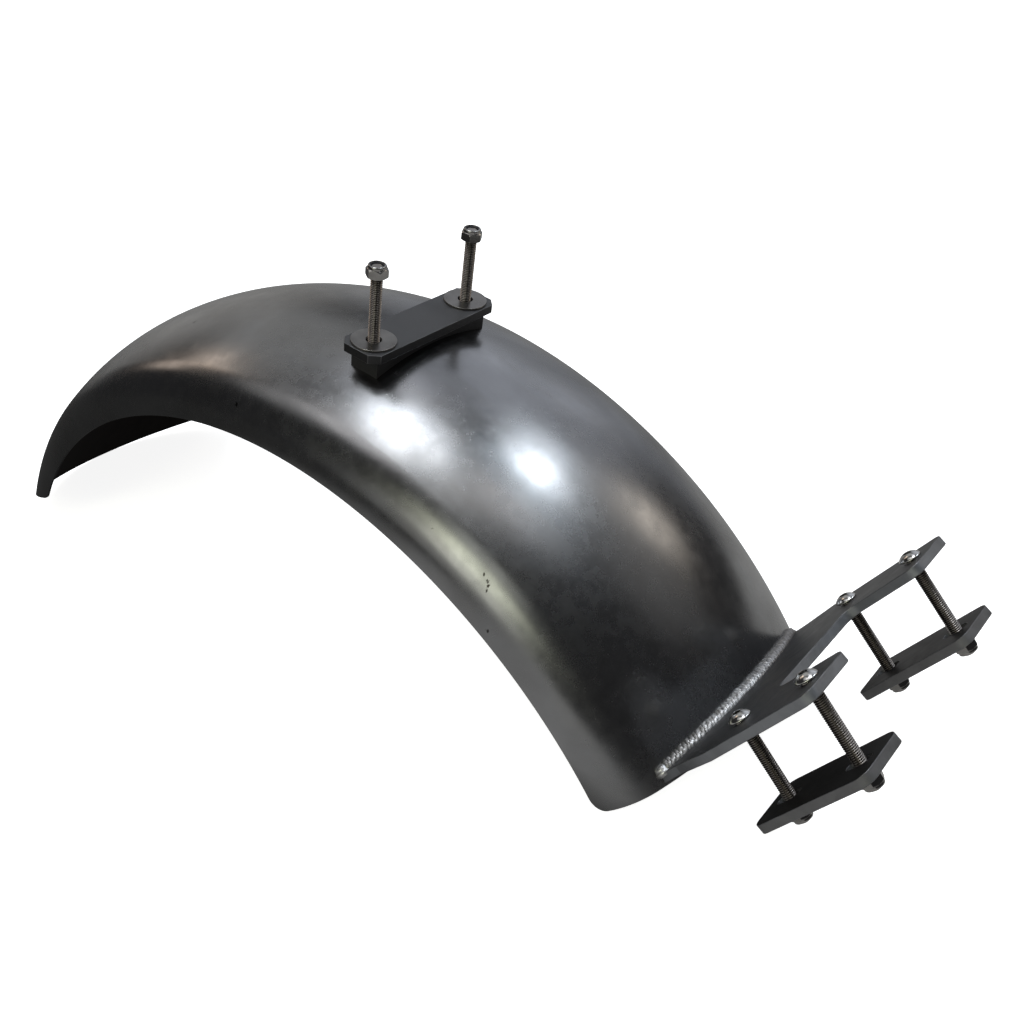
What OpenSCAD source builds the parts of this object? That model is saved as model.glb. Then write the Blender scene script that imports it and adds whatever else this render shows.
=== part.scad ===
// Rear fender for a custom motorcycle: a crowned steel shell that stands on its own two ends,
// a clamp bracket welded on at the front end, and a seat-frame plate with two long bolts on top.
// The design frame has the wheel axis along Y at the origin and the two top bolts along +Z.
// The finished part is then turned and lifted so that both ends of the arch stand on Z = 0.

/* [Fender shell] */
// Outside radius of the crown about the wheel axis
crown_r = 408; // [370:1:440]
// Overall width over the side walls
fender_w = 220; // [200:1:240]
// Radius of the crown across the width
crown_arc_r = 190; // [170:1:230]
// Radius of the rounded shoulders
shoulder_r = 40; // [34:1:46]
// Thickness of the sheet
sheet_t = 2; // [1.2:0.1:3]
// Arc from the top bolts back to the tip
tip_deg = 74.9; // [66:0.1:80]
// Arc from the top bolts forward to the bracket end
front_deg = 47.6; // [42:0.1:54]
// Arc by which the tip is cut back at the side walls
tip_cut_deg = 9.8; // [4:0.1:12]
// Corner radius of the side walls at the tip
tip_corner_r = 14; // [6:1:24]
// Corner radius of the side walls at the bracket end
front_corner_r = 10; // [4:1:20]

/* [Top plate and bolts] */
// Distance between the two top bolts
stud_pitch = 90; // [80:1:100]
// Height of the exposed thread above the washer
stud_h = 44; // [30:1:60]
// Length of the top plate across the fender
top_plate_l = 122; // [116:1:134]
// Width of the top plate along the fender
top_plate_w = 33; // [32:1:44]
// Thickness of the top plate
top_plate_t = 6; // [4:0.5:8]
// Chamfer on the corners of the top plate
top_plate_chamfer = 6; // [2:0.5:8]
// Thickness of the rubber pad over the crown line
pad_t = 6; // [3:0.5:10]
// How far the pad stands back from the long edges of the top plate
pad_inset = 5; // [1:0.5:7]
// How far the pad stands back from the ends of the top plate
pad_end_inset = 8; // [2:0.5:9]
// Outside diameter of the large washers
washer_d = 30; // [24:1:32]
// Thickness of the large washers
washer_t = 1.5; // [1:0.1:2]
// Outside diameter of the washers under the bolt heads inside the shell
inner_washer_d = 24; // [18:1:28]
// Diameter of the holes that the top bolts pass through
stud_hole_d = 10.5; // [9.5:0.1:11.5]

/* [Clamp bracket] */
// Thickness of the bracket
bracket_t = 6; // [4:0.5:8]
// Slope of the bracket above the X axis of the design frame
bracket_deg = 63.3; // [58:0.1:68]
// Height of the bracket's upper face over the end of the crown
bracket_rise = 14.5; // [12:0.5:20]
// Reach of the arms from the end of the crown
arm_reach = 122.5; // [112:0.5:135]
// Width of each arm
arm_w = 46; // [36:1:50]
// Distance between the middles of the two arms
arm_pitch = 139; // [125:1:150]
// Width of the bracket where it meets the shell
bracket_root_w = 168; // [150:1:176]
// Depth of the gap between the arms
notch_l = 58; // [40:1:64]
// Corner radius of the arms and the clamp plates
plate_corner_r = 8; // [4:1:10]
// Inner corner radius of the gap between the arms
notch_r = 9; // [4:1:12]
// Gap left for the weld between the bracket and the shell
root_gap = 0.2; // [0.1:0.1:0.5]
// Radius of the weld bead
weld_r = 4.6; // [3:0.2:6]

/* [Tube clamps] */
// Distance between the two bolts of one clamp
pair_pitch = 56.5; // [50:0.5:62]
// Distance from the outer bolt to the end of the arm
end_margin = 15; // [12:0.5:18]
// Open height of the clamp between arm and plate
clamp_gap = 43; // [35:1:50]
// Lean of the loose clamp bolts towards the shell; 0 when a clamp is closed on its tube
clamp_lean_deg = 11; // [0:0.5:11]
// Length of a clamp plate
clamp_l = 90; // [82:1:96]
// Width of a clamp plate
clamp_w = 44; // [36:1:48]
// Thickness of a clamp plate
clamp_t = 6; // [4:0.5:8]
// Length of the adjusting slots
slot_l = 18; // [12:1:22]
// Width of the adjusting slots and of the holes in the arms, where a leaning bolt needs no more
bolt_hole_min_d = 9.5; // [9.4:0.1:10]

/* [M8 fasteners] */
// Diameter over the thread
thread_d = 7.9; // [7.8:0.02:7.96]
// Diameter of the bolt head
head_d = 14; // [13:0.5:15]
// Height of the bolt head
head_h = 4.4; // [3.5:0.1:5]
// Height of the head's straight rim
head_rim_h = 0.8; // [0.4:0.1:1.2]
// Width across the flats of the socket in the head
socket_af = 5; // [4:0.5:6]
// Depth of the socket in the head
socket_depth = 2.6; // [2:0.1:3]
// Width across the flats of a nut
nut_af = 13; // [12.8:0.1:14]
// Height of a locking nut
nut_h = 8; // [7:0.5:9.5]
// Height of the hexagon of a locking nut
nut_hex_h = 5.8; // [5:0.1:6.4]
// Height of the nylon ring in a locking nut
ring_h = 1.8; // [1.4:0.1:2]
// Running clearance between a bolt and the nut on it
thread_gap = 0.05; // [0.03:0.01:0.08]
// Length of bolt that shows past a clamp nut
tip_out = 1; // [0:0.5:3]

/* [Hidden] */
$fn = 96;
// Fine division for the large radii of the shell
ring_fn = 240;
// Margin by which a cutting body passes the solid that it cuts
over = 2;
// Depth by which two arcs cross where they would otherwise only touch
lap = 0.003;
// Least room between a leaning bolt and its hole, over both sides together
lean_clearance = 0.2;
// Sides of the fender: left is -Y, right is +Y
LEFT = -1;
RIGHT = 1;

// Point in the side view at a radius and an angle forward of the top
function polar(r, deg) = [r * sin(deg), r * cos(deg)];
function unit(v) = v / norm(v);

// Section of the shell: the crown arc runs tangent into a shoulder arc on each side,
// and the shoulder arc ends upright at the side edge
half_w = fender_w / 2;
shoulder_y = half_w - shoulder_r;
arc_centre = crown_r - crown_arc_r;
rim_r = arc_centre + sqrt(pow(crown_arc_r - shoulder_r + lap, 2) - pow(shoulder_y, 2));

// Tip cut: a straight line in the side view, from the side edge out to the crown
tip_crown = polar(crown_r, -tip_deg);
tip_rim = polar(rim_r, tip_cut_deg - tip_deg);
tip_dir = unit(tip_crown - tip_rim);
tip_normal = [-tip_dir[1], tip_dir[0]];
tip_normal_deg = atan2(tip_normal[0], tip_normal[1]);
tip_fillet_deg = tip_normal_deg - 360
    + acos((tip_rim * tip_normal - tip_corner_r) / (rim_r + tip_corner_r));
tip_fillet_c = polar(rim_r + tip_corner_r, tip_fillet_deg);

// Front cut: radial
front_crown = polar(crown_r, front_deg);
front_rim = polar(rim_r, front_deg);
front_normal = [cos(front_deg), -sin(front_deg)];
front_fillet_deg = front_deg - asin(front_corner_r / (rim_r + front_corner_r));
front_fillet_c = polar(rim_r + front_corner_r, front_fillet_deg);

// Stack on top of the crown, as heights in the design frame
pad_top = crown_r + pad_t;
// Height of the pad before its underside is cut to the crown
crown_drop = crown_arc_r - sqrt(pow(crown_arc_r, 2) - pow(top_plate_l / 2, 2));
pad_block_h = ceil(pad_t + crown_drop + over);
// Rubber left between a bolt hole and the end of the pad
pad_wall = 2;
top_plate_top = pad_top + top_plate_t;
washer_top = top_plate_top + washer_t;
nut_seat = washer_top + stud_h;
stud_y = stud_pitch / 2;
thread_r = thread_d / 2;
// Under a sloping shell the inner washer touches at its outer edge
inner_washer_top = arc_centre
    + sqrt(pow(crown_arc_r - sheet_t, 2) - pow(stud_y + inner_washer_d / 2, 2));
inner_washer_t = washer_t;
// The left nut came to rest with a flat where the right one has a corner
left_nut_turn = 30;
// The end of a top bolt stays below the top of its nut
top_bolt_recess = 1.2;
top_bolt_end = nut_seat + nut_h - top_bolt_recess;
top_bolt_seat = inner_washer_top - inner_washer_t;

// Locking nut: step and rounding of the collar, and the lip that holds the nylon ring
nut_collar_step = 0.5;
nut_collar_round = 1.1;
nut_lip_h = 0.5;
nut_lip_w = 0.35;
// Distance by which the hexagon's top face stays inside its flats
nut_top_ease = 0.2;
ring_r = nut_af / 2 - nut_collar_step - nut_collar_round;
ring_mouth_r = ring_r - nut_lip_w;
ring_seat = nut_h - ring_h - nut_lip_h;

// Bracket, in its own frame: X runs out along the arms, Z is square to the plate
bracket_top = bracket_rise;
bracket_bottom = bracket_rise - bracket_t;
arm_y = arm_pitch / 2;
arm_outer_y = arm_y + arm_w / 2;
notch_half_w = arm_y - arm_w / 2;
notch_x = arm_reach - notch_l;
outer_bolt_x = arm_reach - end_margin;
inner_bolt_x = outer_bolt_x - pair_pitch;
clamp_x = (outer_bolt_x + inner_bolt_x) / 2;
clamp_top = bracket_bottom - clamp_gap;
clamp_bottom = clamp_top - clamp_t;
// A leaning bolt needs a hole that clears it on both faces of the thicker plate
bolt_hole_d = max(bolt_hole_min_d,
    thread_d / cos(clamp_lean_deg) + max(bracket_t, clamp_t) * tan(clamp_lean_deg) + lean_clearance);
// A leaning bolt turns about the middle of its hole, and carries the plate along
bracket_middle = bracket_rise - bracket_t / 2;
clamp_shift = -(clamp_gap + (bracket_t + clamp_t) / 2) * tan(clamp_lean_deg);
// Distances along a clamp bolt from the middle of its hole up to the head and down to the nut:
// a leaning head and a leaning nut each touch their plate at one edge
head_seat = (bracket_t / 2 + head_d / 2 * sin(clamp_lean_deg)) / cos(clamp_lean_deg);
nut_drop = (bracket_middle - clamp_bottom + nut_af / 2 * sin(clamp_lean_deg)) / cos(clamp_lean_deg);
// The plate is drawn this far inside the shell's surface before it is cut to it
root_depth = 40;
// Width is full from here outwards
flare_x = inner_bolt_x - end_margin;

// Weld line: an arc in the bracket's upper face, through the crown line and both root corners
radial_to_bracket = 90 - front_deg - bracket_deg;
// Distance from the crown's end, along the bracket's upper face, at which it leaves the shell
function surface_x(y) =
    let (reach = arc_centre + sqrt(pow(crown_arc_r, 2) - pow(y, 2)),
         along = crown_r * cos(radial_to_bracket),
         rise = bracket_top + crown_r * sin(radial_to_bracket))
    sqrt(pow(reach, 2) - pow(rise, 2)) - along;
weld_mid_x = surface_x(0);
weld_end_y = bracket_root_w / 2 - weld_r / 2;
weld_sag = weld_mid_x - surface_x(weld_end_y);
weld_line_r = (pow(weld_end_y, 2) + pow(weld_sag, 2)) / (2 * weld_sag);
weld_span_deg = 2 * asin(weld_end_y / weld_line_r);
// The bead ends in a crater that is a little wider than the bead
crater_swell = 1.15;

// Stance: the turn about Y that puts the tip and the front corners on one level
stance_dx = front_fillet_c[0] - tip_crown[0];
stance_dz = front_fillet_c[1] - tip_crown[1];
stance_deg = atan2(stance_dz, stance_dx) - asin(front_corner_r / norm([stance_dx, stance_dz]));
ground_z = tip_crown[1] * cos(stance_deg) - tip_crown[0] * sin(stance_deg);
tip_x = tip_crown[0] * cos(stance_deg) + tip_crown[1] * sin(stance_deg);
// Foremost point: the outer lower edge of the clamp plates or of the nuts under them
clamp_turn = bracket_deg - stance_deg;
front_crown_x = front_crown[0] * cos(stance_deg) + front_crown[1] * sin(stance_deg);
clamp_edge_x = (clamp_x + clamp_shift + clamp_l / 2) * cos(clamp_turn) - clamp_bottom * sin(clamp_turn);
nut_corner_r = nut_af / 2 / cos(30);
nut_low_x = outer_bolt_x - (nut_drop + nut_hex_h) * sin(clamp_lean_deg) + nut_corner_r * cos(clamp_lean_deg);
nut_low_z = bracket_middle - (nut_drop + nut_hex_h) * cos(clamp_lean_deg)
    - nut_corner_r * sin(clamp_lean_deg);
nut_edge_x = nut_low_x * cos(clamp_turn) - nut_low_z * sin(clamp_turn);
far_x = front_crown_x + max(clamp_edge_x, nut_edge_x);
middle_x = (tip_x + far_x) / 2;

module posed() {
    translate([-middle_x, 0, -ground_z])
        rotate([0, stance_deg, 0])
            children();
}

// Puts a shape drawn in the side view, or turned about the wheel axis, into the design frame
module side_view() {
    rotate([90, 0, 0])
        children();
}

module bracket_frame() {
    translate([front_crown[0], 0, front_crown[1]])
        rotate([0, -bracket_deg, 0])
            children();
}

// Area under the shell's outer surface, or under its inner one at the sheet's thickness
module section_area(inset) {
    wedge_x = crown_arc_r + over;
    wedge_y = wedge_x * shoulder_y / (rim_r - arc_centre);
    intersection() {
        translate([arc_centre, 0])
            circle(r = crown_arc_r - inset, $fn = ring_fn);
        translate([arc_centre, 0])
            polygon([[0, 0], [wedge_x, -wedge_y], [wedge_x, wedge_y]]);
    }
    for (side = [LEFT, RIGHT])
        translate([rim_r, side * shoulder_y])
            circle(r = shoulder_r - inset, $fn = ring_fn);
}

module shell_section() {
    intersection() {
        difference() {
            section_area(0);
            section_area(sheet_t);
        }
        translate([rim_r, -half_w - over])
            square([crown_r + over - rim_r, fender_w + 2 * over]);
    }
}

// Piece that rounds a corner of the side wall between a straight end and the side edge
module corner_cut(centre, r, corner, end_normal, edge_deg) {
    end_foot = centre + end_normal * r;
    edge_foot = polar(rim_r, edge_deg);
    edge_out = -polar(over, edge_deg);
    end_out = end_normal * over;
    difference() {
        polygon([centre, end_foot, end_foot + end_out, corner + end_out + edge_out,
            edge_foot + edge_out, edge_foot]);
        translate(centre)
            circle(r = r + lap);
    }
}

// Side view of the shell's trimmed ends
module side_outline() {
    outside = 2 * crown_r;
    // Lengths of the tip cut's line past the crown and in towards the axle
    outwards = crown_r / 3;
    inwards = crown_r / 2;
    difference() {
        polygon([[0, 0], polar(outside, front_deg), polar(outside, 0), polar(outside, -tip_deg / 2),
            tip_crown + tip_dir * outwards, tip_crown - tip_dir * inwards]);
        corner_cut(front_fillet_c, front_corner_r, front_rim, front_normal, front_fillet_deg);
        corner_cut(tip_fillet_c, tip_corner_r, tip_rim, tip_normal, tip_fillet_deg);
    }
}

// Body under the crown's outer surface, grown by a gap, that cuts what sits on the shell
module crown_body(gap) {
    side_view()
        rotate_extrude($fn = ring_fn)
            intersection() {
                translate([arc_centre, 0])
                    circle(r = crown_arc_r + gap, $fn = ring_fn);
                translate([arc_centre + crown_arc_r / 2, -half_w])
                    square([crown_arc_r, fender_w]);
            }
}

module stud_positions() {
    for (side = [LEFT, RIGHT])
        translate([0, side * stud_y, 0])
            children();
}

module fender_shell() {
    color("dimgray")
        posed()
            difference() {
                side_view()
                    intersection() {
                        rotate_extrude($fn = ring_fn)
                            shell_section();
                        linear_extrude(height = fender_w + 2 * over, center = true)
                            side_outline();
                    }
                stud_positions()
                    translate([0, 0, arc_centre])
                        cylinder(d = stud_hole_d, h = crown_r);
            }
}

module rubber_pad() {
    pad_w = top_plate_w - 2 * pad_inset;
    pad_l = max(top_plate_l - 2 * pad_end_inset, stud_pitch + stud_hole_d + 2 * pad_wall);
    color([0.08, 0.08, 0.09])
        posed()
            difference() {
                translate([-pad_w / 2, -pad_l / 2, pad_top - pad_block_h])
                    cube([pad_w, pad_l, pad_block_h]);
                crown_body(0);
                stud_positions()
                    translate([0, 0, arc_centre])
                        cylinder(d = stud_hole_d, h = crown_r);
            }
}

module top_plate_outline() {
    x = top_plate_w / 2;
    y = top_plate_l / 2;
    c = top_plate_chamfer;
    polygon([[-x + c, -y], [x - c, -y], [x, -y + c], [x, y - c],
        [x - c, y], [-x + c, y], [-x, y - c], [-x, -y + c]]);
}

module top_plate() {
    color([0.24, 0.24, 0.25])
        posed()
            translate([0, 0, pad_top])
                difference() {
                    linear_extrude(height = top_plate_t)
                        top_plate_outline();
                    stud_positions()
                        translate([0, 0, -over])
                            cylinder(d = stud_hole_d, h = top_plate_t + 2 * over);
                }
}

module washer(outer_d, t, hole_d) {
    difference() {
        cylinder(d = outer_d, h = t);
        translate([0, 0, -over])
            cylinder(d = hole_d, h = t + 2 * over);
    }
}

// Domed head with a hexagon socket; it sits on Z = 0 and points up
module bolt_head() {
    r = head_d / 2;
    drop = (pow(r, 2) + pow(head_rim_h, 2) - pow(head_h, 2)) / (2 * (head_h - head_rim_h));
    difference() {
        intersection() {
            cylinder(r = r, h = head_h);
            translate([0, 0, -drop])
                sphere(r = drop + head_h);
        }
        translate([0, 0, head_h - socket_depth])
            cylinder(d = socket_af / cos(30), h = socket_depth + over, $fn = 6);
    }
}

// Bolt along -Z from the underside of its head: the thread down to the nut, then the end in the nut
module bolt(thread_l, end_l) {
    bolt_head();
    translate([0, 0, -thread_l])
        cylinder(r = thread_r, h = thread_l);
    translate([0, 0, -thread_l - end_l])
        cylinder(r = thread_r - thread_gap, h = end_l);
}

// Locking nut on Z = 0: chamfered hexagon, domed collar and a seat for the nylon ring
module lock_nut() {
    collar_r = nut_af / 2 - nut_collar_step;
    chamfer = nut_corner_r - nut_af / 2;
    difference() {
        union() {
            intersection() {
                cylinder(r = nut_corner_r, h = nut_hex_h, $fn = 6);
                rotate_extrude()
                    polygon([[0, 0], [nut_af / 2, 0], [nut_corner_r, chamfer / 2],
                        [nut_corner_r, nut_hex_h - chamfer],
                        [nut_af / 2 - nut_top_ease, nut_hex_h], [0, nut_hex_h]]);
            }
            rotate_extrude() {
                square([collar_r - nut_collar_round, nut_h]);
                square([collar_r, nut_h - nut_collar_round]);
                translate([collar_r - nut_collar_round, nut_h - nut_collar_round])
                    circle(r = nut_collar_round);
            }
        }
        translate([0, 0, -over])
            cylinder(r = thread_r, h = nut_h + 2 * over);
        translate([0, 0, ring_seat])
            cylinder(r = ring_r, h = ring_h);
        translate([0, 0, ring_seat])
            cylinder(r = ring_mouth_r, h = nut_h);
    }
}

// Nylon ring pressed into a nut that sits on Z = 0
module nut_ring() {
    translate([0, 0, ring_seat])
        difference() {
            cylinder(r = ring_r, h = ring_h);
            translate([0, 0, -over])
                cylinder(r = thread_r, h = ring_h + 2 * over);
        }
}

module top_washer(side) {
    color("silver")
        posed()
            translate([0, side * stud_y, top_plate_top])
                washer(washer_d, washer_t, stud_hole_d);
}

module inner_washer(side) {
    color("silver")
        posed()
            translate([0, side * stud_y, top_bolt_seat])
                washer(inner_washer_d, inner_washer_t, stud_hole_d);
}

module top_bolt(side) {
    color("silver")
        posed()
            translate([0, side * stud_y, top_bolt_seat])
                rotate([180, 0, 0])
                    bolt(nut_seat - top_bolt_seat, top_bolt_end - nut_seat);
}

module at_top_nut(side) {
    posed()
        translate([0, side * stud_y, nut_seat])
            rotate([0, 0, side == LEFT ? left_nut_turn : 0])
                children();
}

module top_nut(side) {
    color("silver")
        at_top_nut(side)
            lock_nut();
}

module top_nut_ring(side) {
    color([0.1, 0.1, 0.12])
        at_top_nut(side)
            nut_ring();
}

// Bracket seen square on: a flared root, two arms with round corners and the gap between them
module bracket_outline() {
    r = plate_corner_r;
    root_y = bracket_root_w / 2;
    polygon([[-root_depth, -root_y], [0, -root_y], [flare_x, -arm_outer_y], [notch_x, -arm_outer_y],
        [notch_x, arm_outer_y], [flare_x, arm_outer_y], [0, root_y], [-root_depth, root_y]]);
    for (side = [LEFT, RIGHT])
        translate([0, side * arm_y]) {
            translate([flare_x, -arm_w / 2])
                square([arm_reach - r - flare_x, arm_w]);
            translate([arm_reach - r - over, -arm_w / 2 + r])
                square([r + over, arm_w - 2 * r]);
            for (edge = [-1, 1])
                translate([arm_reach - r, edge * (arm_w / 2 - r)])
                    circle(r = r);
            translate([notch_x, -side * arm_w / 2])
                notch_fillet(side);
        }
}

// Fills the inner corner of the gap beside one arm
module notch_fillet(side) {
    difference() {
        translate([-over, side > 0 ? -notch_r : -over])
            square([notch_r + over, notch_r + over]);
        translate([notch_r, -side * notch_r])
            circle(r = notch_r);
    }
}

module clamp_bolt_positions() {
    for (x = [inner_bolt_x, outer_bolt_x])
        for (side = [LEFT, RIGHT])
            translate([x, side * arm_y, 0])
                children();
}

module mounting_bracket() {
    color([0.22, 0.22, 0.24])
        posed()
            difference() {
                bracket_frame()
                    translate([0, 0, bracket_bottom])
                        difference() {
                            linear_extrude(height = bracket_t)
                                bracket_outline();
                            clamp_bolt_positions()
                                translate([0, 0, -over])
                                    cylinder(d = bolt_hole_d, h = bracket_t + 2 * over);
                        }
                crown_body(root_gap);
            }
}

// Bead along the corner between the bracket's upper face and the shell
module bracket_weld() {
    color([0.72, 0.73, 0.75])
        posed()
            difference() {
                bracket_frame()
                    translate([weld_mid_x - weld_line_r, 0, bracket_top])
                        difference() {
                            weld_bead();
                            translate([0, -fender_w, -2 * weld_r])
                                cube([2 * weld_line_r, 2 * fender_w, 2 * weld_r]);
                        }
                crown_body(0);
            }
}

module weld_bead() {
    rotate([0, 0, -weld_span_deg / 2])
        rotate_extrude(angle = weld_span_deg, $fn = ring_fn)
            translate([weld_line_r, 0])
                circle(r = weld_r);
    for (end = [-1, 1])
        rotate([0, 0, end * weld_span_deg / 2])
            translate([weld_line_r, 0, 0])
                sphere(r = weld_r * crater_swell);
}

module clamp_plate_outline() {
    r = plate_corner_r;
    square([clamp_l - 2 * r, clamp_w], center = true);
    square([clamp_l, clamp_w - 2 * r], center = true);
    for (x = [-1, 1])
        for (y = [-1, 1])
            translate([x * (clamp_l / 2 - r), y * (clamp_w / 2 - r)])
                circle(r = r);
}

module slot() {
    straight = slot_l - bolt_hole_d;
    square([straight, bolt_hole_d], center = true);
    for (x = [-1, 1])
        translate([x * straight / 2, 0])
            circle(d = bolt_hole_d);
}

module clamp_plate(side) {
    color([0.16, 0.16, 0.17])
        posed()
            bracket_frame()
                translate([clamp_x + clamp_shift, side * arm_y, clamp_bottom])
                    linear_extrude(height = clamp_t)
                        difference() {
                            clamp_plate_outline();
                            for (x = [-1, 1])
                                translate([x * pair_pitch / 2, 0])
                                    slot();
                        }
}

// Middle of the hole of one clamp bolt, with Z along the bolt
module at_clamp_bolt(side, x) {
    posed()
        bracket_frame()
            translate([x, side * arm_y, bracket_middle])
                rotate([0, clamp_lean_deg, 0])
                    children();
}

module clamp_bolt(side, x) {
    color("gray")
        at_clamp_bolt(side, x)
            translate([0, 0, head_seat])
                bolt(head_seat + nut_drop, nut_h + tip_out);
}

module at_clamp_nut(side, x) {
    at_clamp_bolt(side, x)
        translate([0, 0, -nut_drop])
            rotate([180, 0, 0])
                children();
}

module clamp_nut(side, x) {
    color("gray")
        at_clamp_nut(side, x)
            lock_nut();
}

module clamp_nut_ring(side, x) {
    color([0.1, 0.1, 0.12])
        at_clamp_nut(side, x)
            nut_ring();
}

fender_shell();
mounting_bracket();
bracket_weld();
rubber_pad();
top_plate();
top_washer(LEFT);  // washer_left
top_washer(RIGHT);  // washer_right
inner_washer(LEFT);  // inner_washer_left
inner_washer(RIGHT);  // inner_washer_right
top_bolt(LEFT);  // top_bolt_left
top_bolt(RIGHT);  // top_bolt_right
top_nut(LEFT);  // top_nut_left
top_nut(RIGHT);  // top_nut_right
top_nut_ring(LEFT);  // top_nut_ring_left
top_nut_ring(RIGHT);  // top_nut_ring_right
clamp_plate(LEFT);  // clamp_plate_left
clamp_plate(RIGHT);  // clamp_plate_right
clamp_bolt(LEFT, inner_bolt_x);  // clamp_bolt_left_inner
clamp_bolt(LEFT, outer_bolt_x);  // clamp_bolt_left_outer
clamp_bolt(RIGHT, inner_bolt_x);  // clamp_bolt_right_inner
clamp_bolt(RIGHT, outer_bolt_x);  // clamp_bolt_right_outer
clamp_nut(LEFT, inner_bolt_x);  // clamp_nut_left_inner
clamp_nut(LEFT, outer_bolt_x);  // clamp_nut_left_outer
clamp_nut(RIGHT, inner_bolt_x);  // clamp_nut_right_inner
clamp_nut(RIGHT, outer_bolt_x);  // clamp_nut_right_outer
clamp_nut_ring(LEFT, inner_bolt_x);  // clamp_nut_ring_left_inner
clamp_nut_ring(LEFT, outer_bolt_x);  // clamp_nut_ring_left_outer
clamp_nut_ring(RIGHT, inner_bolt_x);  // clamp_nut_ring_right_inner
clamp_nut_ring(RIGHT, outer_bolt_x);  // clamp_nut_ring_right_outer
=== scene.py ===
# Motorcycle rear fender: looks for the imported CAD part, in the same frame, in metres.
import math
import bmesh
import bpy
import numpy as np
from mathutils import Matrix, Vector


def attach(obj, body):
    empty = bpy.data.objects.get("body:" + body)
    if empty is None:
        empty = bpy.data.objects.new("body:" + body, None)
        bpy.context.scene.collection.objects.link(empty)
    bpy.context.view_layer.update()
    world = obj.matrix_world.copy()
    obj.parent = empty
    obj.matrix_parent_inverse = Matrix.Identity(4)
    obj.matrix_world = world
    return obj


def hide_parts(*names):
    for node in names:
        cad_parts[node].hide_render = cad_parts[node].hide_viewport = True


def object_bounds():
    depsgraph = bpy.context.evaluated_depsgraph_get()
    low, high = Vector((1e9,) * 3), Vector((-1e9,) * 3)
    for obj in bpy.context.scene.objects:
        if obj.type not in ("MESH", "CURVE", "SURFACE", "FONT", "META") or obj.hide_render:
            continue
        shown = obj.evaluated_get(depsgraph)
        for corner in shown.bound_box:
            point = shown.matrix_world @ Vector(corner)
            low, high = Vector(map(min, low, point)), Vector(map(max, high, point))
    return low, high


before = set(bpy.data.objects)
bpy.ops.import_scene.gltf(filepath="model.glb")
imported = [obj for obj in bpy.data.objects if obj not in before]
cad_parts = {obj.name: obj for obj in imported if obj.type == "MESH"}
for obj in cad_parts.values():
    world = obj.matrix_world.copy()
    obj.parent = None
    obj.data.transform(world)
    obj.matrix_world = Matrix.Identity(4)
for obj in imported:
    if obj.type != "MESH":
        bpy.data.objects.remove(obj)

cad_low, cad_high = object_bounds()
LEFT, RIGHT = -1, 1
SIDES = {"left": LEFT, "right": RIGHT}

# Sizes in millimetres and degrees, as in the CAD source
CROWN_R, FENDER_W, CROWN_ARC_R, SHOULDER_R, SHEET_T = 408, 220, 190, 40, 2
TIP_DEG, FRONT_DEG, TIP_CUT_DEG, TIP_CORNER_R, FRONT_CORNER_R = 74.9, 47.6, 9.8, 14, 10
STUD_Y, NUT_SEAT, TOP_BOLT_END = 45, 465.5, 472.3
ARM_Y, BRACKET_DEG, BRACKET_RISE, BRACKET_T, BRACKET_ROOT_W = 69.5, 63.3, 14.5, 6, 168
CLAMP_BOTTOM, CLAMP_LEAN_DEG, OUTER_BOLT_X, PAIR_PITCH = -40.5, 11, 107.5, 56.5
BOLT_X = {"inner": OUTER_BOLT_X - PAIR_PITCH, "outer": OUTER_BOLT_X}
THREAD_R, THREAD_PITCH, THREAD_DEPTH = 3.95, 1.25, 0.62
HEAD_R, HEAD_H, HEAD_RIM_H, SOCKET_AF, SOCKET_DEPTH = 7, 4.4, 0.8, 5, 2.6
NUT_AF, NUT_H, NUT_HEX_H, NUT_TOP_EASE = 13, 8, 5.8, 0.2
COLLAR_R, COLLAR_ROUND, RING_MOUTH_R, RING_R, RING_SEAT, RING_H = 6, 1.1, 4.55, 4.9, 5.7, 1.8
TIP_OUT, LEFT_NUT_TURN = 1, 30
INNER_WASHER_R, INNER_WASHER_T = 12, 1.5
WELD_R, WELD_PROUD, WELD_END = 4.6, 0.75, 3.0
ROLLED_EDGE = 0.4


def polar(r, angle):
    return np.array([r * math.sin(angle), r * math.cos(angle)])


# Side view of the shell: ends, corner roundings, and the turn that stands it on its two ends
shoulder_y = FENDER_W / 2 - SHOULDER_R
arc_centre = CROWN_R - CROWN_ARC_R
rim_r = arc_centre + math.sqrt((CROWN_ARC_R - SHOULDER_R) ** 2 - shoulder_y ** 2)
front = math.radians(FRONT_DEG)
tip_crown = polar(CROWN_R, -math.radians(TIP_DEG))
tip_rim = polar(rim_r, math.radians(TIP_CUT_DEG - TIP_DEG))
tip_dir = (tip_crown - tip_rim) / np.linalg.norm(tip_crown - tip_rim)
tip_normal = np.array([-tip_dir[1], tip_dir[0]])
tip_normal_angle = math.atan2(tip_normal[0], tip_normal[1])
tip_line = tip_rim @ tip_normal
tip_fillet = tip_normal_angle - 2 * math.pi + math.acos((tip_line - TIP_CORNER_R) / (rim_r + TIP_CORNER_R))
front_fillet = front - math.asin(FRONT_CORNER_R / (rim_r + FRONT_CORNER_R))
front_crown = polar(CROWN_R, front)
step = polar(rim_r + FRONT_CORNER_R, front_fillet) - tip_crown
stance = math.atan2(step[1], step[0]) - math.asin(FRONT_CORNER_R / np.linalg.norm(step))
cos_s, sin_s = math.cos(stance), math.sin(stance)
ground = tip_crown[1] * cos_s - tip_crown[0] * sin_s
# The tip's crown edge is the rear end of the CAD box
middle = tip_crown[0] * cos_s + tip_crown[1] * sin_s - cad_low.x * 1000


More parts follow.
